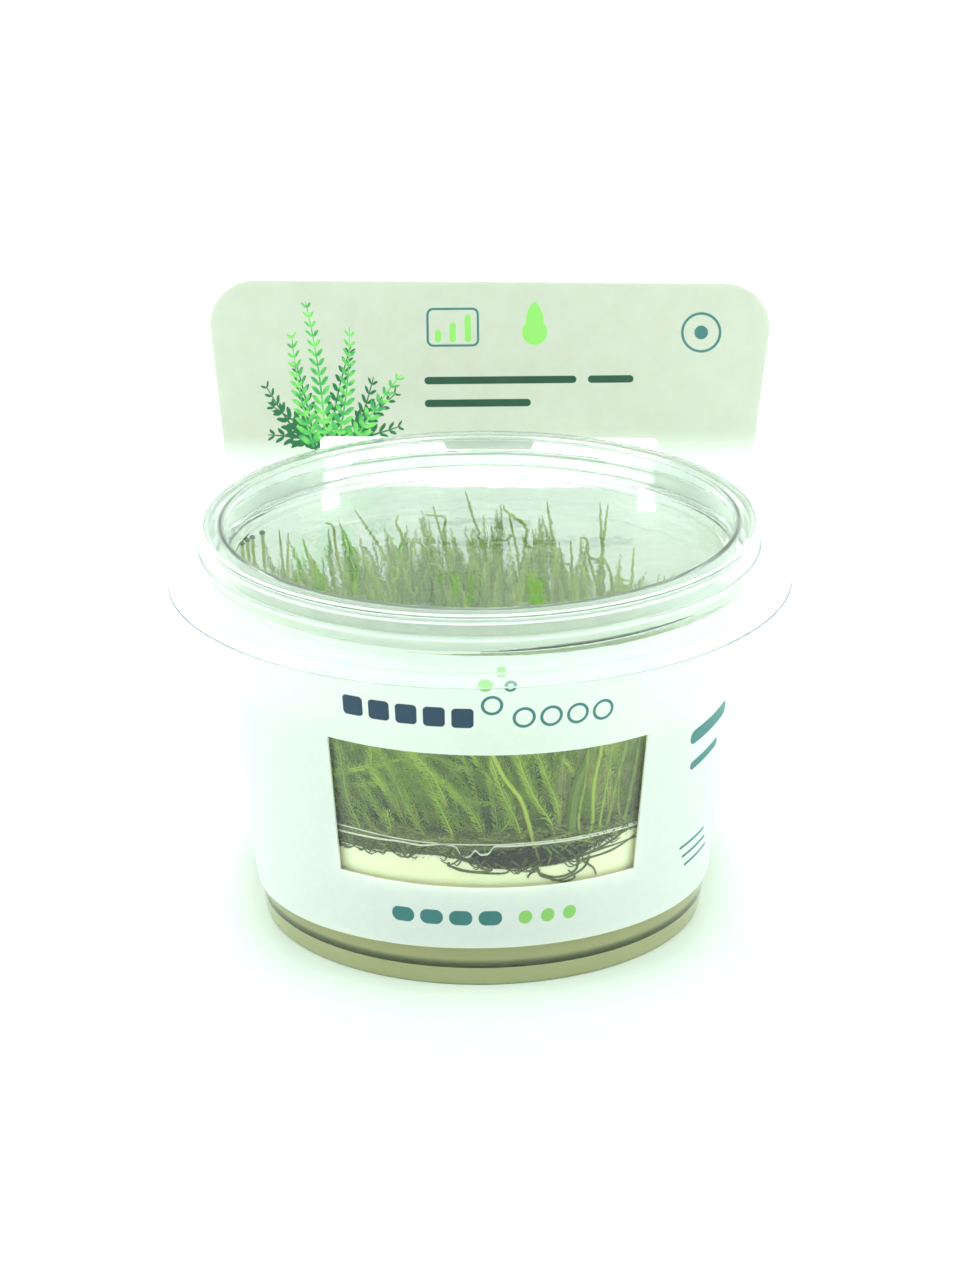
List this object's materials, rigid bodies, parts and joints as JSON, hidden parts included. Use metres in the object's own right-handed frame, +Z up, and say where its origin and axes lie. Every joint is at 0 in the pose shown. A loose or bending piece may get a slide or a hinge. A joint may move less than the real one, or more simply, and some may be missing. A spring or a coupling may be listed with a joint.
{
  "type": "tissue culture flame moss",
  "caption": "Clump of aquarium moss on nutrient gel in a clear lidded cup, held in a white card sleeve with a front window and a tall standing back.",
  "frame": {"origin": "middle of the cup's foot, on the surface that it stands on", "axes": "+Z up along the cup's axis, -Y towards the front with the window, +X to the right seen from the front"},
  "size_m": [0.1048, 0.1048, 0.0944],
  "materials": {
    "clear_cup_plastic": "clear moulded polypropylene, glossy with a faint haze",
    "clear_lid_plastic": "clear moulded plastic, glossy",
    "white_card": null,
    "nutrient_gel": "pale yellow clear gel, wet",
    "moss_leaf": "fine feathery moss, damp, mid green with yellow-green stems"
  },
  "bodies": {
    "root": {"cup": "clear_cup_plastic", "lid": "clear_lid_plastic", "card_sleeve": "white_card", "nutrient_gel": "nutrient_gel", "flame_moss": "moss_leaf"}
  },
  "joints": []
}
